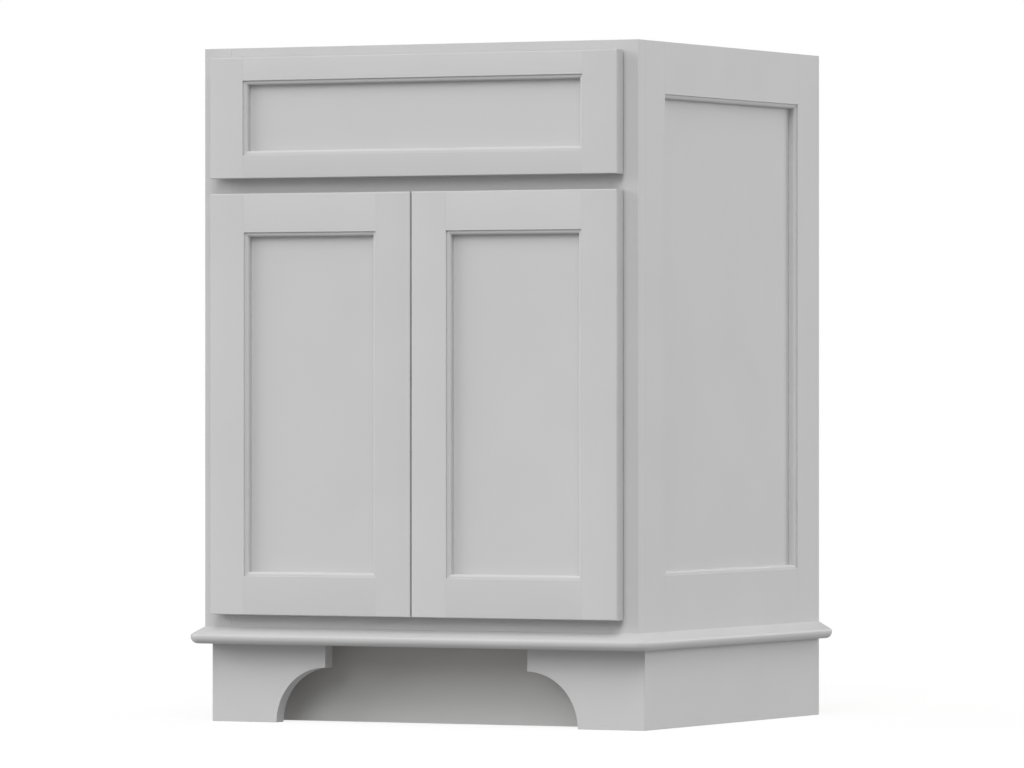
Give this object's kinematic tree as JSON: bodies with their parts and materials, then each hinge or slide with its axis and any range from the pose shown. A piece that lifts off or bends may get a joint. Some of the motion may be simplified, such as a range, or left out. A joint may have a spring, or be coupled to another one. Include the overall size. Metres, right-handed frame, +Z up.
{
  "type": "vanity unit",
  "caption": "Floor-standing bathroom vanity base with a fixed front over paired hinged doors, framed ends, bracket feet and an open top for a basin and worktop.",
  "frame": {"origin": "middle of the footprint of the whole object's box, on the floor", "axes": "+X to the viewer's right, +Y to the wall behind, +Z up"},
  "size_m": [0.6462, 0.5544, 0.8509],
  "materials": {
    "grey_paint": "satin paint",
    "plywood": "clear coated",
    "plain_wood": "bare",
    "hinge_metal": "nickel plated",
    "screw_steel": "zinc plated",
    "bumper_plastic": "soft clear"
  },
  "bodies": {
    "cabinet": {"back_panel": "plywood", "base_moulding_front": "grey_paint", "base_moulding_left": "grey_paint", "base_moulding_right": "grey_paint", "cabinet_floor": "plywood", "corner_braces": "plain_wood", "false_front_bottom_rail": "grey_paint", "false_front_bumpers": "bumper_plastic", "false_front_cleats": "plain_wood", "false_front_left_stile": "grey_paint", "false_front_panel": "grey_paint", "false_front_right_stile": "grey_paint", "false_front_screws": "screw_steel", "false_front_top_rail": "grey_paint", "foot_blocks": "plain_wood", "frame_bottom_rail": "grey_paint", "frame_left_stile": "grey_paint", "frame_middle_rail": "grey_paint", "frame_right_stile": "grey_paint", "frame_top_rail": "grey_paint", "hanging_rail": "plywood", "hinge_arm_screws": "screw_steel", "left_base_board": "grey_paint", "left_end_bottom_rail": "grey_paint", "left_end_front_stile": "grey_paint", "left_end_panel": "grey_paint", "left_end_rear_stile": "grey_paint", "left_end_top_rail": "grey_paint", "left_foot": "grey_paint", "left_hinge_arms": "hinge_metal", "left_side_panel": "plywood", "rear_base_board": "plywood", "right_base_board": "grey_paint", "right_end_bottom_rail": "grey_paint", "right_end_front_stile": "grey_paint", "right_end_panel": "grey_paint", "right_end_rear_stile": "grey_paint", "right_end_top_rail": "grey_paint", "right_foot": "grey_paint", "right_hinge_arms": "hinge_metal", "right_side_panel": "plywood", "toe_kick_board": "grey_paint"},
    "left_door": {"left_door_hinge_stile": "grey_paint", "left_door_meeting_stile": "grey_paint", "left_door_top_rail": "grey_paint", "left_door_bottom_rail": "grey_paint", "left_door_panel": "grey_paint", "left_door_bumpers": "bumper_plastic", "left_hinge_cups": "hinge_metal", "left_hinge_pins": "hinge_metal", "left_hinge_cup_screws": "screw_steel"},
    "right_door": {"right_door_hinge_stile": "grey_paint", "right_door_meeting_stile": "grey_paint", "right_door_top_rail": "grey_paint", "right_door_bottom_rail": "grey_paint", "right_door_panel": "grey_paint", "right_door_bumpers": "bumper_plastic", "right_hinge_cups": "hinge_metal", "right_hinge_pins": "hinge_metal", "right_hinge_cup_screws": "screw_steel"}
  },
  "joints": [
    {"name": "left_door_hinge", "type": "hinge", "parent": "cabinet", "child": "left_door", "pos_m": [-0.27875, -0.26717, 0.4], "axis": [0, 0, -1], "range_deg": [0, 105]},
    {"name": "right_door_hinge", "type": "hinge", "parent": "cabinet", "child": "right_door", "pos_m": [0.27875, -0.26717, 0.4], "axis": [0, 0, 1], "range_deg": [0, 105]}
  ]
}
